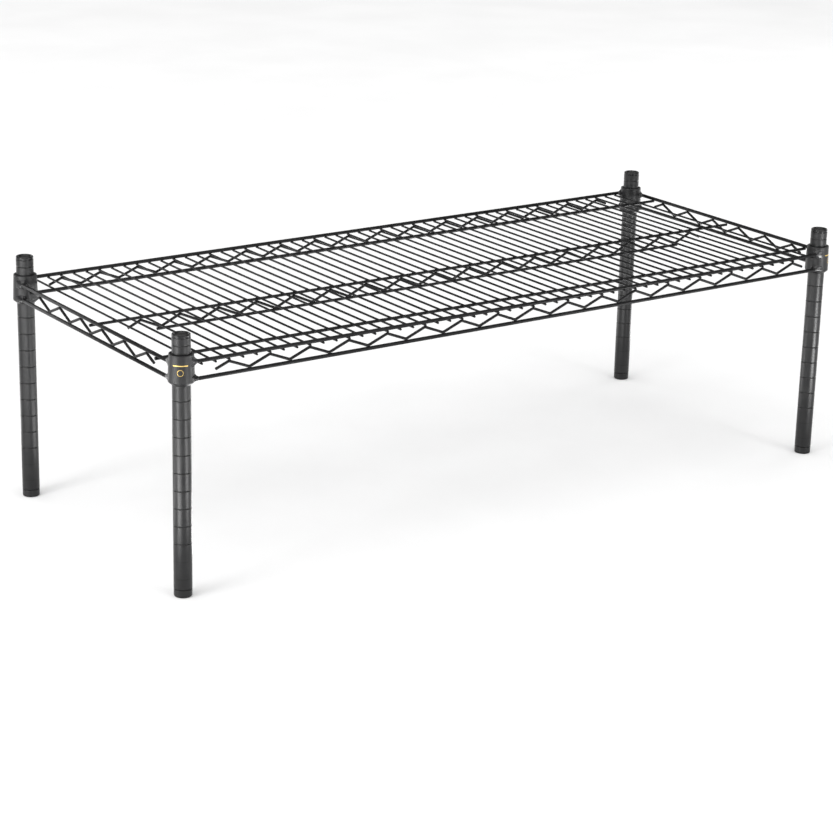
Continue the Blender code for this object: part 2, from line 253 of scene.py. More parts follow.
# Fine scuffs from handling and packing, longer than they are wide.
scuff_group, scuff_in, scuff_out = new_group("handling_scuffs", {"Amount": 0.4}, ("Scuffs",))
long_marks = ramp(scuff_group, noise(scuff_group, 260.0, 4.0, 0.6, (1, 1, 0.12)).outputs["Fac"], 0.58, 0.74)
where_rubbed = ramp(scuff_group, noise(scuff_group, 14.0, 2.0, 0.5).outputs["Fac"], 0.42, 0.66)
rubbed_marks = calc(scuff_group, "MULTIPLY", long_marks, where_rubbed)
scuffs = calc(scuff_group, "MULTIPLY", rubbed_marks, scuff_in.outputs["Amount"])
scuff_group.links.new(scuffs, scuff_out.inputs["Scuffs"])


def use_group(tree, group, setting):
    """Places a shared effect in a material with its own setting, and returns what it puts out."""
    node = tree.nodes.new("ShaderNodeGroup")
    node.node_tree = group
    node.inputs[0].default_value = setting
    return node.outputs[0]


def coated(name, dark, light, specular, gloss, ripple, peel_depth, dust, scuffing, shade=None):
    """A baked epoxy finish. gloss is the lowest and highest roughness, and shade makes a mask of painted
    shade.
    """
    finish = bpy.data.materials.new(name)
    finish.use_nodes = True
    tree = finish.node_tree
    surface = tree.nodes["Principled BSDF"]
    surface.inputs["Specular IOR Level"].default_value = specular
    cloud = noise(tree, 38.0, 4.0, 0.6).outputs["Fac"]
    dust_mask = use_group(tree, dust_group, dust)
    scuff_mask = use_group(tree, scuff_group, scuffing)
    colour = blend(tree, ramp(tree, cloud, 0.35, 0.65), dark, light)
    colour = blend(tree, scuff_mask, colour, SCUFF_GREY)
    if shade is not None:
        # Painted shade: the colour is darkened towards black where the shade mask is high.
        colour = blend(tree, shade(tree), colour, PAINTED_SHADE_BLACK)
    colour = blend(tree, dust_mask, colour, DUST_GREY)
    tree.links.new(colour, surface.inputs["Base Color"])
    dulling = calc(tree, "MULTIPLY_ADD", scuff_mask, 0.12, calc(tree, "MULTIPLY", dust_mask, 0.5))
    roughness = calc(tree, "ADD", ramp(tree, cloud, 0.3, 0.7, *gloss), dulling)
    tree.links.new(roughness, surface.inputs["Roughness"])
    bump = tree.nodes.new("ShaderNodeBump")
    bump.inputs["Strength"].default_value = 0.6
    bump.inputs["Distance"].default_value = peel_depth
    tree.links.new(use_group(tree, peel_group, ripple), bump.inputs["Height"])
    tree.links.new(bump.outputs["Normal"], surface.inputs["Normal"])
    return finish


def groove_painted_shade(tree):
    """Paints shade into the rolled grooves, darkest along the middle of each groove."""
    place = tree.nodes.new("ShaderNodeTexCoord")
    axes = tree.nodes.new("ShaderNodeSeparateXYZ")
    tree.links.new(place.outputs["Object"], axes.inputs["Vector"])
    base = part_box("post_front_left")[0].z + FIRST_GROOVE
    from_first = calc(tree, "SUBTRACT", axes.outputs["Z"], base)
    nearest = calc(tree, "WRAP", from_first, GROOVE_PITCH / 2, -GROOVE_PITCH / 2)
    distance = calc(tree, "ABSOLUTE", nearest, 0)
    return ramp(tree, distance, GROOVE_HALF_WIDTH * 0.5, GROOVE_HALF_WIDTH * 0.95, GROOVE_SHADE_SHARE, 0.0)


# The posts' grooves get painted shade on top of the coat's colour.
post_coat = coated(
    "post_coat", POST_BLACK, POST_GREY, specular=0.35, gloss=(0.33, 0.38), ripple=460.0,
    peel_depth=0.00004, dust=0.1, scuffing=0.08, shade=groove_painted_shade,
)

for corner in CORNERS:
    node = "post_" + corner
    low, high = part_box(node)
    radius = (high.x - low.x) / 2 + POST_COAT_BUILD
    bore = radius - TUBE_WALL
    corners = [(bore, low.z, TUBE_EDGE), (radius, low.z, TUBE_EDGE)]
    groove = low.z + FIRST_GROOVE
    while groove < high.z - GROOVE_HALF_WIDTH:
        corners.append((radius, groove - GROOVE_HALF_WIDTH, GROOVE_LIP))
        corners.append((radius - GROOVE_DEPTH, groove, GROOVE_ROOT))
        corners.append((radius, groove + GROOVE_HALF_WIDTH, GROOVE_LIP))
        groove += GROOVE_PITCH
    corners += [(radius, high.z, TUBE_EDGE), (bore, high.z, TUBE_EDGE)]
    bm = bmesh.new()
    outline = round_off(corners, steps=3, closed=True)
    turn(bm, outline, upright_axis(node), TUBE_STEPS, closed=True)
    tube = add_piece(bm, "tube_" + corner, post_coat, [node])
    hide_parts(node)


# Post plugs: black polyethylene caps, moulded in one piece and pressed into the top of each tube. The head
# has a rounded rim and a dished top with the gate mark in its middle, and a hollow skirt holds the plug in.
PLUG_RIM = 0.0014
PLUG_UNDERCUT = 0.0003
PLUG_DISH_RADIUS = 0.0108
PLUG_DISH_DEPTH = 0.0022
PLUG_DISH_SLOPE = 0.0012
PLUG_DISH_BEND = 0.0009
PLUG_DISH_LIP = 0.0005
PLUG_GATE_RADIUS = 0.0013
PLUG_GATE_HEIGHT = 0.0003
PLUG_HEAD_HEIGHT = 0.0044
PLUG_SKIRT_RADIUS = 0.0111
PLUG_SKIRT_WALL = 0.0018
PLUG_SKIRT_TAPER = 0.0003
PLUG_SKIRT_EDGE = 0.0005
PLUG_HOLLOW_EDGE = 0.0004
PLUG_HOLLOW_BEND = 0.0006
PLUG_FINE_EDGE = 0.0002
PLUG_STEPS = 96
PLUG_BLACK = (0.006, 0.006, 0.0065)
PLUG_GREY = (0.012, 0.012, 0.0125)


def moulded(name, dark, light, specular, gloss, grain, grain_depth, dust):
    """A moulded plastic: a fine spark-eroded grain, faint flow clouds and a little dust."""
    finish = bpy.data.materials.new(name)
    finish.use_nodes = True
    tree = finish.node_tree
    surface = tree.nodes["Principled BSDF"]
    surface.inputs["Specular IOR Level"].default_value = specular
    flow = noise(tree, 120.0, 3.0, 0.55, (1, 1, 0.4)).outputs["Fac"]
    dust_mask = use_group(tree, dust_group, dust)
    colour = blend(tree, ramp(tree, flow, 0.35, 0.65), dark, light)
    colour = blend(tree, dust_mask, colour, DUST_GREY)
    tree.links.new(colour, surface.inputs["Base Color"])
    roughness = calc(tree, "MULTIPLY_ADD", dust_mask, 0.4, ramp(tree, flow, 0.3, 0.7, *gloss))
    tree.links.new(roughness, surface.inputs["Roughness"])
    bump = tree.nodes.new("ShaderNodeBump")
    bump.inputs["Strength"].default_value = 0.5
    bump.inputs["Distance"].default_value = grain_depth
    tree.links.new(noise(tree, grain, 2.0, 0.6).outputs["Fac"], bump.inputs["Height"])
    tree.links.new(bump.outputs["Normal"], surface.inputs["Normal"])
    return finish


plug_plastic = moulded(
    "plug_plastic", PLUG_BLACK, PLUG_GREY, specular=0.3, gloss=(0.20, 0.27), grain=3200.0,
    grain_depth=0.00002, dust=0.12,
)

for corner in CORNERS:
    node = "post_cap_" + corner
    low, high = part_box(node)
    radius = (high.x - low.x) / 2
    under_head = high.z - PLUG_HEAD_HEIGHT
    dish_floor = high.z - PLUG_DISH_DEPTH
    inner = PLUG_SKIRT_RADIUS - PLUG_SKIRT_WALL
    corners = [
        (0, dish_floor + PLUG_GATE_HEIGHT, 0),
        (PLUG_GATE_RADIUS, dish_floor + PLUG_GATE_HEIGHT, PLUG_FINE_EDGE),
        (PLUG_GATE_RADIUS, dish_floor, PLUG_FINE_EDGE),
        (PLUG_DISH_RADIUS - PLUG_DISH_SLOPE, dish_floor, PLUG_DISH_BEND),
        (PLUG_DISH_RADIUS, high.z, PLUG_DISH_LIP),
        (radius, high.z, PLUG_RIM),
        (radius, under_head, PLUG_UNDERCUT),
        (PLUG_SKIRT_RADIUS, under_head, PLUG_FINE_EDGE),
        (PLUG_SKIRT_RADIUS - PLUG_SKIRT_TAPER, low.z, PLUG_SKIRT_EDGE),
        (inner, low.z, PLUG_HOLLOW_EDGE),
        (inner, dish_floor - PLUG_SKIRT_WALL, PLUG_HOLLOW_BEND),
        (0, dish_floor - PLUG_SKIRT_WALL, 0),
    ]
    bm = bmesh.new()
    turn(bm, round_off(corners, steps=5), upright_axis(node), PLUG_STEPS, closed=False)
    plug = add_piece(bm, "plug_" + corner, plug_plastic, [node])
    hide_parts(node)


# Threaded inserts: zinc plated steel nuts pressed into the bottom of each tube, with ribs that bite into
# the wall and a tapped hole for the levelling foot.
INSERT_RIB_PITCH = 0.0022
INSERT_RIB_DEPTH = 0.0004
INSERT_LEAD = 0.0012
INSERT_EDGE = 0.0004
INSERT_TOP_EDGE = 0.0003
INSERT_BORE_EDGE = 0.0005
INSERT_STEPS = 64
STEM_RADIUS = 0.00476
THREAD_CLEARANCE = 0.0003
ZINC_LIGHT = (0.62, 0.63, 0.64)
ZINC_DULL = (0.40, 0.41, 0.43)

zinc_plate = bpy.data.materials.new("zinc_plate")
zinc_plate.use_nodes = True
zinc_tree = zinc_plate.node_tree
zinc_surface = zinc_tree.nodes["Principled BSDF"]
zinc_surface.inputs["Metallic"].default_value = 1.0
spangle = noise(zinc_tree, 420.0, 5.0, 0.6).outputs["Fac"]
zinc_colour = blend(zinc_tree, ramp(zinc_tree, spangle, 0.35, 0.7), ZINC_LIGHT, ZINC_DULL)
zinc_tree.links.new(zinc_colour, zinc_surface.inputs["Base Color"])
zinc_tree.links.new(ramp(zinc_tree, spangle, 0.3, 0.7, 0.24, 0.42), zinc_surface.inputs["Roughness"])
zinc_bump = zinc_tree.nodes.new("ShaderNodeBump")
zinc_bump.inputs["Strength"].default_value = 0.4
zinc_bump.inputs["Distance"].default_value = 0.00005
zinc_tree.links.new(noise(zinc_tree, 2600.0, 3.0, 0.6).outputs["Fac"], zinc_bump.inputs["Height"])
zinc_tree.links.new(zinc_bump.outputs["Normal"], zinc_surface.inputs["Normal"])

for corner in CORNERS:
    node = "foot_insert_" + corner
    low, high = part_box(node)
    radius = (high.x - low.x) / 2
    bore = STEM_RADIUS + THREAD_CLEARANCE
    corners = [(bore, low.z, INSERT_BORE_EDGE), (radius, low.z, INSERT_EDGE)]
    rib = low.z + INSERT_LEAD
    while rib < high.z - INSERT_LEAD - INSERT_RIB_PITCH:
        corners.append((radius, rib, 0))
        corners.append((radius - INSERT_RIB_DEPTH, rib + INSERT_RIB_PITCH, 0))
        rib += INSERT_RIB_PITCH
    corners.append((radius, rib, 0))
    corners.append((radius - INSERT_LEAD, high.z, INSERT_TOP_EDGE))
    corners.append((bore, high.z, INSERT_BORE_EDGE))
    bm = bmesh.new()
    outline = round_off(corners, steps=2, closed=True)
    turn(bm, outline, upright_axis(node), INSERT_STEPS, closed=True)
    insert = add_piece(bm, "insert_" + corner, zinc_plate, [node])
    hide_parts(node)


# Levelling feet: a round steel head that stands on the floor, welded to a threaded stem. The foot screws
# in and out of its insert to level the rack. It is coated to match the posts, scuffed, and painted with
# shade in a band next to the floor.
FOOT_FLOOR_EDGE = 0.0019
FOOT_TOP_EDGE = 0.0006
FOOT_SOLE_RISE = 0.0004
FOOT_SOLE_SHARE = 0.78
FOOT_SOLE_EDGE = 0.0006
FOOT_HOLLOW_SHARE = 0.72
FOOT_HOLLOW_EDGE = 0.001
FOOT_HEAD_HEIGHT = 0.011
STEM_FOOT_EDGE = 0.0004
STEM_TOP_EDGE = 0.0003
THREAD_PITCH = 0.0016
THREAD_DEPTH = 0.0009
THREAD_ROOT = THREAD_PITCH * 0.4
THREAD_ROOT_EDGE = 0.0001
THREAD_CREST = THREAD_PITCH * 0.06
FOOT_STEPS = 96
# The painted shade in the band next to the floor: its ragged edge, where it is full, where it ends, and its
# share.
FOOT_SHADE_RAGGED = 0.002
FOOT_SHADE_FULL_BELOW = 0.0008
FOOT_SHADE_NONE_ABOVE = 0.0032
FOOT_SHADE_SHARE = 0.7


def floor_painted_shade(tree):
    """Paints shade into a ragged band next to the floor, darker nearer the floor."""
    place = tree.nodes.new("ShaderNodeTexCoord")
    axes = tree.nodes.new("ShaderNodeSeparateXYZ")
    tree.links.new(place.outputs["Object"], axes.inputs["Vector"])
    unevenness = noise(tree, 500.0, 4.0, 0.6).outputs["Fac"]
    ragged = calc(tree, "MULTIPLY_ADD", unevenness, FOOT_SHADE_RAGGED, axes.outputs["Z"])
    return ramp(tree, ragged, FOOT_SHADE_FULL_BELOW, FOOT_SHADE_NONE_ABOVE, FOOT_SHADE_SHARE, 0.0)


# The feet get painted shade in a band next to the floor.
foot_coat = coated(
    "foot_coat", POST_BLACK, POST_GREY, specular=0.35, gloss=(0.34, 0.42), ripple=460.0,
    peel_depth=0.00005, dust=0.2, scuffing=0.4, shade=floor_painted_shade,
)

for corner in CORNERS:
    node = "levelling_foot_" + corner
    low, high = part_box(node)
    radius = (high.x - low.x) / 2
    corners = [
        (0, low.z + FOOT_SOLE_RISE, 0),
        (radius * FOOT_HOLLOW_SHARE, low.z + FOOT_SOLE_RISE, FOOT_HOLLOW_EDGE),
        (radius * FOOT_SOLE_SHARE, low.z, FOOT_SOLE_EDGE),
        (radius, low.z, FOOT_FLOOR_EDGE),
        (radius, low.z + FOOT_HEAD_HEIGHT, FOOT_TOP_EDGE),
        (STEM_RADIUS - THREAD_DEPTH, low.z + FOOT_HEAD_HEIGHT, STEM_FOOT_EDGE),
    ]
    crest = low.z + FOOT_HEAD_HEIGHT + THREAD_PITCH
    while crest < high.z - THREAD_PITCH:
        corners.append((STEM_RADIUS - THREAD_DEPTH, crest - THREAD_ROOT, THREAD_ROOT_EDGE))
        corners.append((STEM_RADIUS, crest - THREAD_CREST, 0))
        corners.append((STEM_RADIUS, crest + THREAD_CREST, 0))
        corners.append((STEM_RADIUS - THREAD_DEPTH, crest + THREAD_ROOT, THREAD_ROOT_EDGE))
        crest += THREAD_PITCH
    corners += [(STEM_RADIUS - THREAD_DEPTH, high.z, STEM_TOP_EDGE), (0, high.z, 0)]
    bm = bmesh.new()
    turn(bm, round_off(corners, steps=4), upright_axis(node), FOOT_STEPS, closed=False)
    foot = add_piece(bm, "foot_" + corner, foot_coat, [node])
    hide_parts(node)


# Split sleeves: two half cones of moulded black plastic on each post, with a rib inside that snaps into a
# groove. The shelf's collars wedge down on them. Their lower rims stick out as a chamfer under each collar.
SLEEVE_GAP_ANGLE = 0.05
SLEEVE_STEPS = 48
SLEEVE_LIP_HEIGHT = 0.0003
SLEEVE_RIB_DEPTH = 0.0004
SLEEVE_RIB_HALF = 0.0009
SLEEVE_EDGE = 0.0004
SLEEVE_BORE = 0.0130
SLEEVE_LIP_RADIUS = 0.0135
SLEEVE_CONE_RADIUS = 0.0181
SLEEVE_CONE_TOP = 0.3066
WEDGE_FOOT_RADIUS = 0.01485
WEDGE_TOP_RADIUS = 0.0141
RIB_GROOVE = 10

sleeve_plastic = moulded(
    "sleeve_plastic", PLUG_BLACK, PLUG_GREY, specular=0.3, gloss=(0.32, 0.42), grain=2600.0,
    grain_depth=0.00003, dust=0.2,
)

for corner in CORNERS:
    post_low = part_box("post_" + corner)[0]
    rib = post_low.z + FIRST_GROOVE + RIB_GROOVE * GROOVE_PITCH
    for half, turned in (("outer", 0.0), ("inner", math.pi)):
        node = "sleeve_" + half + "_" + corner
        low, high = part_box(node)
        corners = [
            (SLEEVE_BORE, low.z, SLEEVE_EDGE / 2),
            (SLEEVE_LIP_RADIUS, low.z, SLEEVE_EDGE / 2),
            (SLEEVE_CONE_RADIUS, SLEEVE_CONE_TOP - SLEEVE_LIP_HEIGHT, SLEEVE_EDGE / 2),
            (SLEEVE_CONE_RADIUS, SLEEVE_CONE_TOP, 0),
            (WEDGE_FOOT_RADIUS, SLEEVE_CONE_TOP, SLEEVE_EDGE / 2),
            (WEDGE_TOP_RADIUS, high.z, SLEEVE_EDGE),
            (SLEEVE_BORE, high.z, SLEEVE_EDGE),
            (SLEEVE_BORE, rib + SLEEVE_RIB_HALF, 0),
            (SLEEVE_BORE - SLEEVE_RIB_DEPTH, rib, 0),
            (SLEEVE_BORE, rib - SLEEVE_RIB_HALF, 0),
        ]
        side = math.radians(45) * (1 if post_low.x * post_low.y > 0 else 3)
        facing_out = side if post_low.y > 0 else side + math.pi
        first = facing_out + turned - math.pi / 2 + SLEEVE_GAP_ANGLE / 2
        bm = bmesh.new()
        outline = round_off(corners, steps=3, closed=True)
        turn(
            bm, outline, upright_axis("post_" + corner), SLEEVE_STEPS,
            closed=True, start=first, angle=math.pi - SLEEVE_GAP_ANGLE,
        )
        sleeve = add_piece(bm, "wedge_" + half + "_" + corner, sleeve_plastic, [node])
        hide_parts(node)


# Rails: eight straight lengths of 5 mm round steel wire, an upper and a lower one on each side. They are
# cut square, welded to the collars, and coated with the whole shelf, so the coat bridges each joint.
SIDES = ("front", "back", "left", "right")
COAT_BUILD = 0.00034
RAIL_FACETS = 24
RAIL_EMBED = 0.0118
CUT_EDGE = 0.0004
CUT_ROUNDING = 0.3
WIRE_BLACK = (0.0035, 0.0035, 0.0038)
WIRE_GREY = (0.007, 0.007, 0.0074)

wire_coat = coated(
    "wire_coat", WIRE_BLACK, WIRE_GREY, specular=0.15, gloss=(0.36, 0.46), ripple=700.0,
    peel_depth=0.00004, dust=0.05, scuffing=0.1,
)


def loft(bm, rings):
    """Joins rings of points into one closed skin, from a circle that is extruded ring by ring."""
    verts = bmesh.ops.create_circle(bm, segments=len(rings[0]), radius=1)["verts"]
    for vert, point in zip(verts, rings[0]):
        vert.co = point
    edges = [edge for edge in bm.edges if edge.verts[0] in verts and edge.verts[1] in verts]
    bmesh.ops.contextual_create(bm, geom=edges)
    for ring in rings[1:]:
        grown = bmesh.ops.extrude_edge_only(bm, edges=edges)["geom"]
        edges = [item for item in grown if isinstance(item, bmesh.types.BMEdge)]
        for vert, point in zip([item for item in grown if isinstance(item, bmesh.types.BMVert)], ring):
            vert.co = point
    bmesh.ops.contextual_create(bm, geom=edges)


def circle_at(centre, along, radius, facets):
    """A ring of points round a wire. along is the way the wire runs there."""
    side = along.cross(Vector((0, 0, 1)))
    if side.length < 1e-6:
        side = Vector((1, 0, 0))
    side.normalize()
    top = side.cross(along).normalized()
    ring = []
    for step in range(facets):
        angle = math.tau * step / facets
        ring.append(centre + radius * (math.cos(angle) * side + math.sin(angle) * top))
    return ring


def draw_wire(bm, path, radius, facets):
    """Draws a round wire along a path, with its cut ends softened by the coat."""
    halfway = CUT_EDGE * CUT_ROUNDING
    cut = ((0, CUT_EDGE), (halfway, halfway), (CUT_EDGE, 0))
    rings = []
    for place, point in enumerate(path):
        before = (point - path[place - 1]).normalized() if place else None
        after = (path[place + 1] - point).normalized() if place < len(path) - 1 else None
        along = ((before or after) + (after or before)).normalized()
        if before is None:
            for inset, shrink in cut:
                rings.append(circle_at(point + along * inset, along, radius - shrink, facets))
        elif after is None:
            for inset, shrink in reversed(cut):
                rings.append(circle_at(point - along * inset, along, radius - shrink, facets))
        else:
            mitre = radius / max(0.5, math.cos(before.angle(after) / 2))
            rings.append(circle_at(point, along, (radius + mitre) / 2, facets))
    loft(bm, rings)


post_axis = {corner: upright_axis("post_" + corner) for corner in CORNERS}
for level in ("top", "bottom"):
    for side in SIDES:
        node = "rail_" + level + "_" + side
        low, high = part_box(node)
        middle = (low + high) / 2
        radius = (high.z - low.z) / 2
        if side in ("front", "back"):
            reach = Vector((abs(post_axis["front_left"].x) - RAIL_EMBED, 0, 0))
        else:
            reach = Vector((0, abs(post_axis["front_left"].y) - RAIL_EMBED, 0))
        bm = bmesh.new()
        draw_wire(bm, [middle - reach, middle + reach], radius + COAT_BUILD, RAIL_FACETS)
        rail = add_piece(bm, "rail_wire_" + level + "_" + side, wire_coat, [node])
        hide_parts(node)


# Zigzag wires: 3.4 mm wire bent into a row of peaks and valleys on a forming machine and spot welded
# between the rails of each side. The two ends of each wire stop short of the collars, cut square.
ZIGZAG_PITCH = 0.0637
ZIGZAG_BEND = 0.0052
ZIGZAG_FACETS = 14
ZIGZAG_TAIL = 0.65
BEND_STEPS = 6
LONG_PEAKS = 17
END_PEAKS = 6
CENTRE_PEAKS = 17


def zigzag_path(node, peaks, along_x, sink=0.0):
    """A bent wire's radius and middle line. sink presses its lowest bends into the wire below."""
    low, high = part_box(node)
    low.z -= sink
    thickness = (high.y - low.y) if along_x else (high.x - low.x)
    wire = thickness / 2
    flank = ZIGZAG_PITCH / 2
    rise = high.z - low.z - thickness
    # The corners stand further out than the rounded bends, which are what touches the rails.
    swing = 2 * ZIGZAG_BEND
    straight_rise = rise - swing
    slope = flank * straight_rise + swing * math.sqrt(flank**2 + straight_rise**2 - swing**2)
    slope /= flank**2 - swing**2
    beyond = (flank * slope - rise) / 2
    crest, trough = high.z - wire + beyond, low.z + wire - beyond
    bends = []
    for place in range(2 * peaks - 1):
        offset = (place - (peaks - 1)) * flank
        bends.append((offset, crest if place % 2 == 0 else trough, ZIGZAG_BEND))
    end = bends[-1][0] + flank * ZIGZAG_TAIL
    end_height = crest + (trough - crest) * ZIGZAG_TAIL
    bends = [(-end, end_height, 0), *bends, (end, end_height, 0)]
    middle = (low + high) / 2
    if along_x:
        return wire, [Vector((u, middle.y, v)) for u, v in round_off(bends, BEND_STEPS)]
    return wire, [Vector((middle.x, u, v)) for u, v in round_off(bends, BEND_STEPS)]


for side in SIDES:
    node = "zigzag_wire_" + side
    long_side = side in ("front", "back")
    wire, path = zigzag_path(node, LONG_PEAKS if long_side else END_PEAKS, long_side)
    bm = bmesh.new()
    draw_wire(bm, path, wire + COAT_BUILD, ZIGZAG_FACETS)
    zigzag = add_piece(bm, "zigzag_" + side, wire_coat, [node], smooth_below=60)
    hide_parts(node)


# Centre truss: a straight 4 mm wire right under the deck, a shorter one below it, and a zigzag wire
# between the two. It stiffens the deck along its middle, and its ends are welded under the end rails.
STRAIGHT_FACETS = 20
CENTRE_WELD_SINK = 0.0012

for level in ("top", "bottom"):
    node = "centre_truss_" + level + "_wire"
    low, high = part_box(node)
    middle = (low + high) / 2
    reach = Vector(((high.x - low.x) / 2, 0, 0))
    bm = bmesh.new()
    draw_wire(bm, [middle - reach, middle + reach], (high.z - low.z) / 2 + COAT_BUILD, STRAIGHT_FACETS)
    straight = add_piece(bm, "centre_wire_" + level, wire_coat, [node])
    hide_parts(node)

node = "centre_truss_zigzag_wire"
low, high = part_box(node)
wire, path = zigzag_path(node, CENTRE_PEAKS, True, CENTRE_WELD_SINK)
bm = bmesh.new()
draw_wire(bm, path, wire + COAT_BUILD, ZIGZAG_FACETS)
centre_zigzag = add_piece(bm, "centre_zigzag", wire_coat, [node], smooth_below=60)
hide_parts(node)


# Deck: 53 cross wires of 2.5 mm, pressed down into two 4 mm runners and the centre wire by resistance
# welding, with their ends welded up under the front and back rails. Each crossing leaves a small nugget.
DECK_WIRES = 53
DECK_RADIUS = 0.00125
RUNNER_RADIUS = 0.002
RUNNER_REACH = 0.5903
RUNNER_HEIGHT = 0.3278
RUNNER_Y = 0.187
DECK_FACETS = 10
NUGGET_SPREAD = 0.0019
NUGGET_HEIGHT = 0.0013
NUGGET_STEPS = 8
NUGGET_RINGS = 6

deck_low, deck_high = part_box("deck_wire_mat")
rail_y = (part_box("rail_top_front")[0].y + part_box("rail_top_front")[1].y) / 2
deck_z = deck_high.z - DECK_RADIUS
deck_pitch = ZIGZAG_PITCH / 3
bm = bmesh.new()
for count in range(DECK_WIRES):
    place = (count - (DECK_WIRES - 1) / 2) * deck_pitch
    ends = [Vector((place, deck_low.y, deck_z)), Vector((place, deck_high.y, deck_z))]
    draw_wire(bm, ends, DECK_RADIUS + COAT_BUILD, DECK_FACETS)
deck = add_piece(bm, "deck_wires", wire_coat, ["deck_wire_mat"])
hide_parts("deck_wire_mat")

bm = bmesh.new()
for across in (-RUNNER_Y, RUNNER_Y):
    ends = [Vector((-RUNNER_REACH, across, RUNNER_HEIGHT)), Vector((RUNNER_REACH, across, RUNNER_HEIGHT))]
    draw_wire(bm, ends, RUNNER_RADIUS + COAT_BUILD, STRAIGHT_FACETS)
add_piece(bm, "deck_runners", wire_coat, ["deck_wire_mat"])

bm = bmesh.new()
for count in range(DECK_WIRES):
    place = (count - (DECK_WIRES - 1) / 2) * deck_pitch
    for across in (rail_y, -RUNNER_Y, 0, RUNNER_Y, -rail_y):
        lift = DECK_RADIUS if abs(across) == abs(rail_y) else -DECK_RADIUS
        size = Matrix.Diagonal((NUGGET_SPREAD, NUGGET_SPREAD, NUGGET_HEIGHT, 1))
        spot = Matrix.Translation((place, across, deck_z + lift)) @ size
        bmesh.ops.create_uvsphere(
            bm, u_segments=NUGGET_STEPS, v_segments=NUGGET_RINGS, radius=1, matrix=spot
        )
add_piece(bm, "deck_welds", wire_coat, ["deck_wire_mat"], smooth_below=60)


# Collars: four tapered steel sleeves at the shelf's corners, formed from tube, with rolled edges. The
# rails are arc welded to them with a hollow fillet round each wire, and a plain mark is printed outside.
COLLAR_STEPS = 128
COLLAR_TOP_EDGE = 0.0009
COLLAR_FOOT_EDGE = 0.0006
COLLAR_FOOT_RADIUS = 0.0184
COLLAR_TOP_RADIUS = 0.0170
COLLAR_BORE_FOOT = 0.0152
COLLAR_BORE_TOP = 0.01445
COLLAR_BLACK = (0.009, 0.009, 0.0095)
COLLAR_GREY = (0.016, 0.016, 0.0165)
WELD_BLACK = (0.008, 0.008, 0.0085)
WELD_GREY = (0.02, 0.02, 0.021)
WELD_FACETS = 28
WELD_FLARE = 0.0042
WELD_REACH = 0.0072
WELD_SINK = 0.0012
WELD_HOLLOW = 2.4
WELD_WRAP = 0.975
WELD_LEVELS = 7
RIPPLES = 9
RIPPLE_SIZE = 0.04
RIPPLE_SHIFT = 20

collar_coat = coated(
    "collar_coat", COLLAR_BLACK, COLLAR_GREY, specular=0.32, gloss=(0.32, 0.38), ripple=420.0,
    peel_depth=0.00005, dust=0.1, scuffing=0.08,
)
weld_coat = coated(
    "weld_coat", WELD_BLACK, WELD_GREY, specular=0.4, gloss=(0.20, 0.30), ripple=380.0,
    peel_depth=0.00016, dust=0.1, scuffing=0.05,
)
collar_low, collar_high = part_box("collar_front_left")


def collar_radius(height):
    """The collar's outside radius at a height, along its taper."""
    share = (height - collar_low.z) / (collar_high.z - collar_low.z)
    return COLLAR_FOOT_RADIUS + (COLLAR_TOP_RADIUS - COLLAR_FOOT_RADIUS) * share


for corner in CORNERS:
    node = "collar_" + corner
    corners = [
        (COLLAR_BORE_FOOT, collar_low.z, COLLAR_FOOT_EDGE),
        (COLLAR_FOOT_RADIUS, collar_low.z, COLLAR_FOOT_EDGE),
        (COLLAR_TOP_RADIUS, collar_high.z, COLLAR_TOP_EDGE),
        (COLLAR_BORE_TOP, collar_high.z, COLLAR_TOP_EDGE),
    ]
    bm = bmesh.new()
    outline = round_off(corners, steps=5, closed=True)
    turn(bm, outline, upright_axis("post_" + corner), COLLAR_STEPS, closed=True)
    collar = add_piece(bm, "cone_" + corner, collar_coat, [node])
    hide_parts(node)


def weld_fillet(bm, axis, rail_middle, rail_radius, runs_along_x):
    """One arc weld: a hollow fillet that follows the collar's skin and thins out along the rail."""
    run, cross = ("x", "y") if runs_along_x else ("y", "x")
    inward = -math.copysign(1, getattr(axis, run))
    outward = math.copysign(1, getattr(axis, cross))
    offset = abs(getattr(rail_middle, cross) - getattr(axis, cross))
    rings = []
    for level in range(-1, WELD_LEVELS + 1):
        share = max(0, level / WELD_LEVELS)
        spread = rail_radius + COAT_BUILD + WELD_FLARE * (1 - share) ** WELD_HOLLOW
        standoff = WELD_REACH * share if level >= 0 else -WELD_SINK
        ring = []
        for step in range(WELD_FACETS):
            angle = math.tau * step / WELD_FACETS
            wave = math.sin(RIPPLES * angle + RIPPLE_SHIFT * axis.x)
            ripple = 1 + RIPPLE_SIZE * (1 - share) * wave
            room = rail_middle.z - collar_low.z if math.sin(angle) < 0 else collar_high.z - rail_middle.z
            height = rail_middle.z + min(spread * ripple, room) * math.sin(angle)
            skin = collar_radius(height)
            across = min(offset + spread * ripple * math.cos(angle), skin * WELD_WRAP)
            along = math.sqrt(skin**2 - across**2) + standoff
            point = Vector((0, 0, height))
            setattr(point, run, getattr(axis, run) + inward * along)
            setattr(point, cross, getattr(axis, cross) + outward * across)
            ring.append(point)
        rings.append(ring)
    loft(bm, rings)


for corner in CORNERS:
    front_or_back, left_or_right = corner.split("_")
    axis = upright_axis("post_" + corner)
    bm = bmesh.new()
    for level in ("top", "bottom"):
        for side, runs_along_x in ((front_or_back, True), (left_or_right, False)):
            low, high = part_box("rail_" + level + "_" + side)
            weld_fillet(bm, axis, (low + high) / 2, (high.z - low.z) / 2, runs_along_x)
    add_piece(bm, "arc_welds_" + corner, weld_coat, ["collar_" + corner], smooth_below=50)


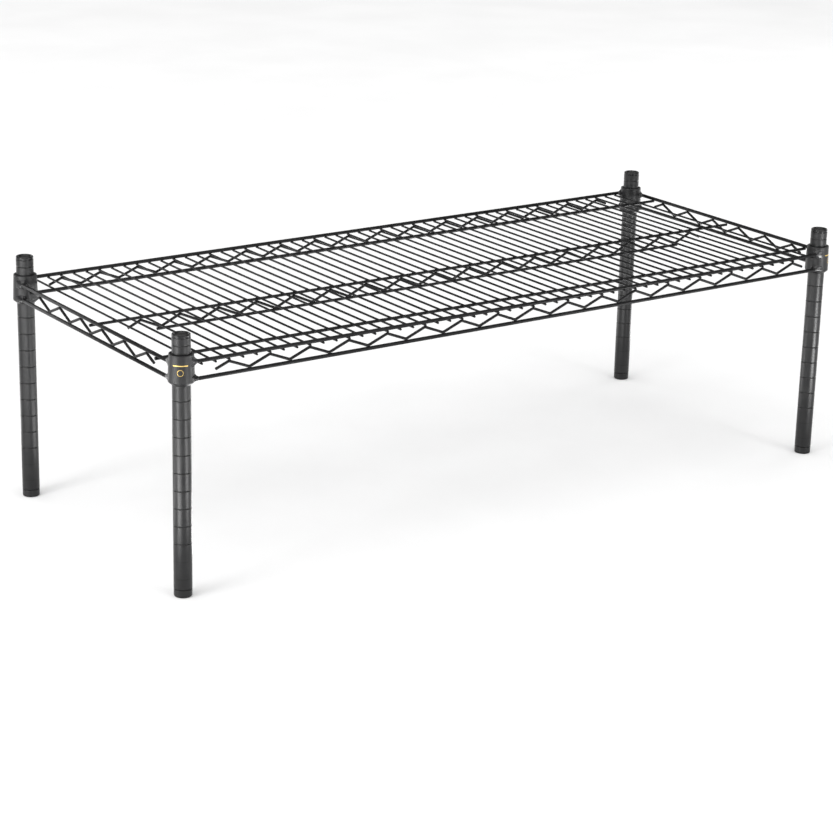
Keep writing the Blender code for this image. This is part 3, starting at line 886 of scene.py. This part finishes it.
# Printed marks: a plain bar and ring in gold ink on the outside of each collar, put on with a pad after
# the coat is baked. They are a maker's plain decoration and carry no name.
MARK_LIFT = 0.00005
MARK_THICKNESS = 0.00004
MARK_BAR_HEIGHT = 0.3318
MARK_RING_HEIGHT = 0.3222
MARK_BAR_LENGTH = 0.0210
MARK_BAR_WIDTH = 0.0014
MARK_RING_RADIUS = 0.0044
MARK_RING_WIDTH = 0.0006
MARK_TURN = math.radians(11)
MARK_BAR_STEPS = 24
MARK_RING_STEPS = 40
GOLD_BRIGHT = (0.78, 0.55, 0.16)
GOLD_WORN = (0.45, 0.31, 0.09)

gold_ink = bpy.data.materials.new("gold_ink")
gold_ink.use_nodes = True
gold_tree = gold_ink.node_tree
gold_surface = gold_tree.nodes["Principled BSDF"]
gold_surface.inputs["Metallic"].default_value = 0.6
flake = noise(gold_tree, 2400.0, 4.0, 0.7).outputs["Fac"]
gold_colour = blend(gold_tree, ramp(gold_tree, flake, 0.35, 0.65), GOLD_BRIGHT, GOLD_WORN)
gold_tree.links.new(gold_colour, gold_surface.inputs["Base Color"])
gold_tree.links.new(ramp(gold_tree, flake, 0.3, 0.7, 0.32, 0.48), gold_surface.inputs["Roughness"])
gold_bump = gold_tree.nodes.new("ShaderNodeBump")
gold_bump.inputs["Strength"].default_value = 0.5
gold_bump.inputs["Distance"].default_value = 0.00003
gold_tree.links.new(flake, gold_bump.inputs["Height"])
gold_tree.links.new(gold_bump.outputs["Normal"], gold_surface.inputs["Normal"])

for corner in CORNERS:
    axis = upright_axis("post_" + corner)
    bm = bmesh.new()
    bar = Matrix.Translation((0, MARK_BAR_HEIGHT, 0)) @ Matrix.Diagonal(
        (MARK_BAR_LENGTH / 2, MARK_BAR_WIDTH / 2, 1, 1)
    )
    bmesh.ops.create_grid(bm, x_segments=MARK_BAR_STEPS, y_segments=2, size=1, matrix=bar)
    ring_place = Matrix.Translation((0, MARK_RING_HEIGHT, 0))
    disc = bmesh.ops.create_circle(
        bm, cap_ends=True, segments=MARK_RING_STEPS, radius=MARK_RING_RADIUS, matrix=ring_place
    )
    disc_faces = list({face for vert in disc["verts"] for face in vert.link_faces})
    bmesh.ops.inset_region(bm, faces=disc_faces, thickness=MARK_RING_WIDTH, use_boundary=True)
    bmesh.ops.delete(bm, geom=disc_faces, context="FACES")
    facing = math.atan2(math.copysign(1, axis.y), math.copysign(1, axis.x))
    facing += math.copysign(MARK_TURN, axis.x * axis.y)
    for vert in bm.verts:
        skin = collar_radius(vert.co.y) + MARK_LIFT
        angle = facing + vert.co.x / skin
        height = vert.co.y
        vert.co = Vector((axis.x + skin * math.cos(angle), axis.y + skin * math.sin(angle), height))
    bmesh.ops.recalc_face_normals(bm, faces=bm.faces)
    bmesh.ops.solidify(bm, geom=list(bm.faces), thickness=MARK_THICKNESS)
    add_piece(bm, "gold_mark_" + corner, gold_ink, ["collar_" + corner], smooth_below=50)


# Studio: a plain pale floor, large soft lights and the camera. The air looks nearly white, and lights the
# rack only a little, so that the softboxes and the cards shape the highlights.
FLOOR_SIZE = 60.0
FLOOR_WHITE = (0.86, 0.86, 0.86)
FLOOR_SHADE = (0.83, 0.83, 0.83)
AIR_LIGHT = 0.24
AIR_LOOK = 0.98

floor_finish = bpy.data.materials.new("studio_floor")
floor_finish.use_nodes = True
floor_tree = floor_finish.node_tree
floor_surface = floor_tree.nodes["Principled BSDF"]
floor_cloud = noise(floor_tree, 3.0, 3.0, 0.5).outputs["Fac"]
floor_colour = blend(floor_tree, ramp(floor_tree, floor_cloud, 0.3, 0.7), FLOOR_WHITE, FLOOR_SHADE)
floor_tree.links.new(floor_colour, floor_surface.inputs["Base Color"])
floor_surface.inputs["Roughness"].default_value = 0.8
floor_surface.inputs["Specular IOR Level"].default_value = 0.2
bm = bmesh.new()
bmesh.ops.create_grid(bm, x_segments=1, y_segments=1, size=FLOOR_SIZE / 2)
floor_mesh = bpy.data.meshes.new("studio_floor")
bm.to_mesh(floor_mesh)
bm.free()
floor_mesh.materials.append(floor_finish)
floor = bpy.data.objects.new("studio_floor", floor_mesh)
bpy.context.scene.collection.objects.link(floor)

world = bpy.data.worlds.new("studio_air")
world.use_nodes = True
air = world.node_tree
room_light = air.nodes["Background"]
room_light.inputs["Color"].default_value = (1, 1, 1, 1)
room_light.inputs["Strength"].default_value = AIR_LIGHT
backdrop = air.nodes.new("ShaderNodeBackground")
backdrop.inputs["Color"].default_value = (1, 1, 1, 1)
backdrop.inputs["Strength"].default_value = AIR_LOOK
seen = air.nodes.new("ShaderNodeLightPath")
seen_or_felt = air.nodes.new("ShaderNodeMixShader")
air.links.new(seen.outputs["Is Camera Ray"], seen_or_felt.inputs["Fac"])
air.links.new(room_light.outputs["Background"], seen_or_felt.inputs[1])
air.links.new(backdrop.outputs["Background"], seen_or_felt.inputs[2])
air.links.new(seen_or_felt.outputs["Shader"], air.nodes["World Output"].inputs["Surface"])
bpy.context.scene.world = world


def hang_light(name, kind, place, aim):
    """Puts up a light at a place, aimed at a point, and out of the camera's sight."""
    lamp = bpy.data.lights.new(name, kind)
    holder = bpy.data.objects.new(name, lamp)
    holder.location = place
    holder.rotation_euler = (Vector(aim) - Vector(place)).to_track_quat("-Z", "Y").to_euler()
    holder.visible_camera = False
    bpy.context.scene.collection.objects.link(holder)
    return lamp


def light_panel(name, place, aim, width, depth, power):
    """A rectangular softbox or reflector card."""
    lamp = hang_light(name, "AREA", place, aim)
    lamp.shape = "RECTANGLE"
    lamp.size = width
    lamp.size_y = depth
    lamp.energy = power


# Each softbox has a place, a width, a height and a power in watts.
RACK_MIDDLE = Vector((0, 0, 0.25))
SOFTBOXES = {
    "softbox_left": ((-3.4, -0.6, 0.95), 1.1, 1.8, 40),
    "softbox_right": ((1.3, -3.9, 0.95), 1.1, 1.8, 40),
    "softbox_back": ((-1.5, 4.2, 1.0), 1.5, 1.8, 30),
    "softbox_far_right": ((4.2, 0.8, 1.0), 1.5, 1.8, 30),
    "strip_left": ((-1.9, 0.0, 0.32), 0.5, 0.6, 6),
}
for name, (place, width, height, power) in SOFTBOXES.items():
    light_panel(name, place, RACK_MIDDLE, width, height, power)

# Cards lie on the floor round the rack and face up, and give the posts their soft upright highlights.
# Each has its middle (right, back), a width, a depth and a glow in watts per square metre.
CARD_HEIGHT = 0.02
CARDS = {
    "card_left": (-1.25, -0.38, 1.0, 0.24, 38),
    "card_left_back": (-0.95, 0.0, 0.45, 0.12, 9),
    "card_front_left": (-0.36, -0.80, 0.2, 0.7, 34),
    "card_front_right": (0.66, -0.90, 0.26, 0.7, 75),
    "card_under_middle": (0.15, 0.02, 0.5, 0.14, 20),
    "card_right": (1.25, 0.42, 1.0, 0.5, 12),
    "card_back_left": (-0.66, 0.80, 0.25, 0.7, 7),
    "card_back_right": (0.36, 0.75, 0.25, 0.7, 7),
    "card_under_left": (-0.39, -0.03, 0.2, 0.3, 20),
}
for name, (right, back, width, depth, glow) in CARDS.items():
    place = Vector((right, back, CARD_HEIGHT))
    light_panel(name, place, place + Vector((0, 0, 1)), width, depth, glow * width * depth)

OVERHEAD_PLACE = (-0.8, -0.6, 4.0)
OVERHEAD_STRENGTH = 2.75
OVERHEAD_SPREAD = math.radians(80)

overhead = hang_light("overhead_diffuser", "SUN", OVERHEAD_PLACE, (0, 0, 0))
overhead.energy = OVERHEAD_STRENGTH
overhead.angle = OVERHEAD_SPREAD

CAMERA_PLACE = Vector((-2.0836, -2.9054, 1.2804))
CAMERA_HEADING = 0.6154
CAMERA_TILT = 0.3210
CAMERA_ROLL = 0.0244
CAMERA_LENS = 104.72
CAMERA_SENSOR = 36.0

camera_data = bpy.data.cameras.new("studio_camera")
camera_data.lens = CAMERA_LENS
camera_data.sensor_width = CAMERA_SENSOR
camera_data.clip_start = 0.05
camera_data.clip_end = 100.0
camera = bpy.data.objects.new("studio_camera", camera_data)
bpy.context.scene.collection.objects.link(camera)
sight = Vector((
    math.sin(CAMERA_HEADING) * math.cos(CAMERA_TILT),
    math.cos(CAMERA_HEADING) * math.cos(CAMERA_TILT),
    -math.sin(CAMERA_TILT),
))
camera.location = CAMERA_PLACE
camera.rotation_mode = "QUATERNION"
camera.rotation_quaternion = sight.to_track_quat("-Z", "Y") @ Quaternion((0, 0, 1), CAMERA_ROLL)
bpy.context.scene.camera = camera
bpy.context.scene.view_settings.view_transform = "Standard"
